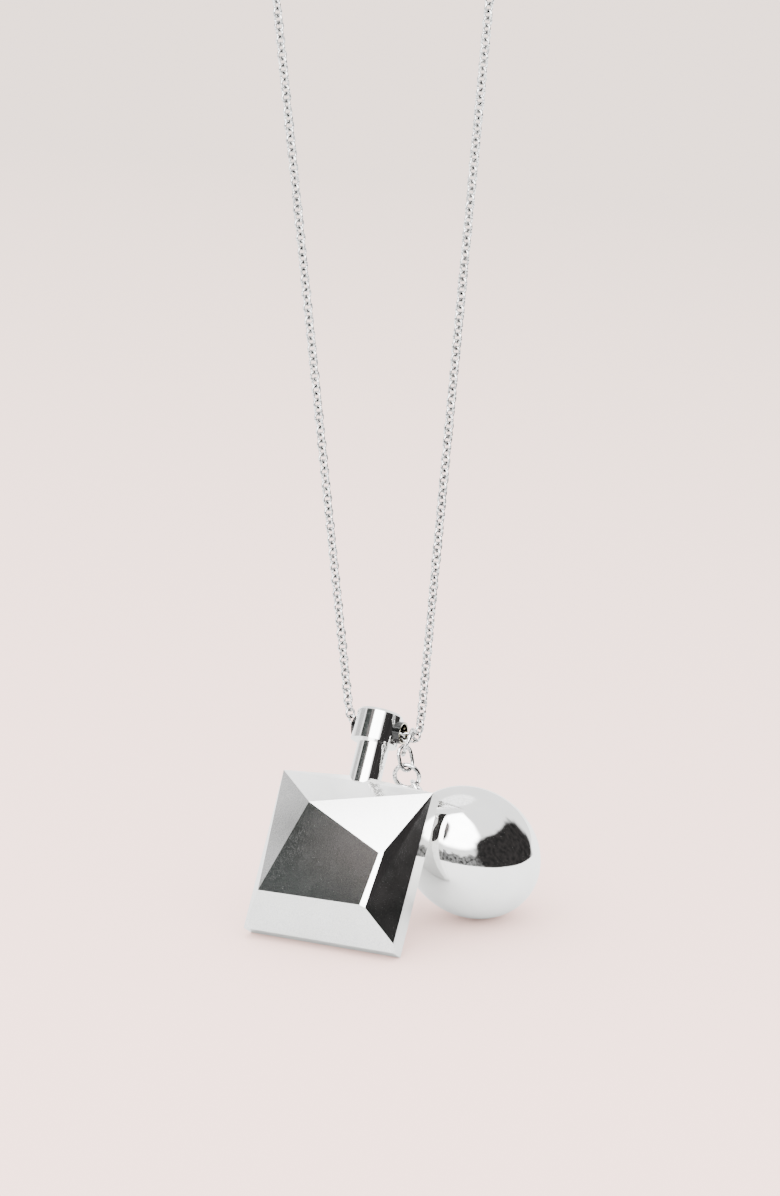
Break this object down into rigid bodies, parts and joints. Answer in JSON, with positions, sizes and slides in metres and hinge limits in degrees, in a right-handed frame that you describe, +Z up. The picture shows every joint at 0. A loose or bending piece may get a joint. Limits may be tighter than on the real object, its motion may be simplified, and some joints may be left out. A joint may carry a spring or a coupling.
{
  "type": "pendant necklace",
  "caption": "Fine rolo-chain necklace with a spring ring clasp, carrying a faceted square bottle on a cross tube and a smooth ovoid that hangs from small rings.",
  "frame": {"origin": "the top of the chain loop, at the clasp, where a neck or a display peg carries the necklace", "axes": "+Z up along the hanging loop; +X along the bottle's cross tube, towards the ovoid's side; the chain loop lies in the XZ plane; -Y is the front"},
  "size_m": [0.0481, 0.0334, 0.2195],
  "materials": {
    "polished_silver": "polished sterling silver with fine wear on the edges",
    "satin_silver": "polished sterling silver with a fine satin grain and hairline scratches on the flat facets",
    "mirror_silver": "mirror polished sterling silver",
    "spring_steel": "drawn spring wire"
  },
  "bodies": {
    "necklace_chain": {"chain": "polished_silver", "clasp_body": "polished_silver", "clasp_eye": "polished_silver", "clasp_spring": "spring_steel"},
    "bolt": {"clasp_bolt": "polished_silver"},
    "left_ring": {"left_end_ring": "polished_silver"},
    "right_ring": {"right_end_ring": "polished_silver"},
    "bottle": {"bottle_front_shell": "satin_silver", "bottle_side_band": "polished_silver", "bottle_back_plate": "satin_silver", "bottle_neck": "polished_silver", "bottle_cap": "polished_silver", "cap_cross_tube": "polished_silver"},
    "top_ring": {"hanging_ring": "polished_silver"},
    "link": {"oval_link": "polished_silver"},
    "lower_ring": {"ovoid_ring": "polished_silver"},
    "ovoid": {"ovoid_upper_shell": "mirror_silver", "ovoid_lower_shell": "mirror_silver", "ovoid_eyelet": "polished_silver"}
  },
  "joints": [
    {"name": "bolt_slide", "type": "hinge", "parent": "necklace_chain", "child": "bolt", "pos_m": [0.0012, 0, 0], "axis": [0, -1, 0], "range_deg": [0, 55], "stiffness_Nm_per_rad": 0.0002, "springref_deg": -28.65, "deforming": ["clasp_spring"]},
    {"name": "left_ring_turn", "type": "hinge", "parent": "necklace_chain", "child": "left_ring", "pos_m": [-0.00435, 0, 0], "axis": [0, 0, 1], "continuous": true},
    {"name": "right_ring_turn", "type": "hinge", "parent": "necklace_chain", "child": "right_ring", "pos_m": [0.004, 0, 0], "axis": [0, 0, 1], "continuous": true},
    {"name": "bottle_swing", "type": "hinge", "parent": "necklace_chain", "child": "bottle", "pos_m": [-0.0004, 0, -0.1875], "axis": [1, 0, 0], "range_deg": [-70, 0]},
    {"name": "top_ring_swing", "type": "hinge", "parent": "necklace_chain", "child": "top_ring", "pos_m": [0.00495, 0, -0.1882], "axis": [0.8913, 0.2951, -0.3441], "range_deg": [0, 20]},
    {"name": "link_swing", "type": "hinge", "parent": "top_ring", "child": "link", "pos_m": [0.00455, -0.00127, -0.19034], "axis": [-0.445, 0.7147, -0.5396], "range_deg": [-12, 0]},
    {"name": "lower_ring_swing", "type": "hinge", "parent": "link", "child": "lower_ring", "pos_m": [0.00534, -0.00106, -0.19283], "axis": [0.2963, 0.9504, 0.0948], "range_deg": [0, 12]},
    {"name": "ovoid_swing", "type": "hinge", "parent": "lower_ring", "child": "ovoid", "pos_m": [0.00617, -0.00048, -0.19534], "axis": [0.7566, 0.0758, 0.6495], "range_deg": [0, 40]}
  ]
}
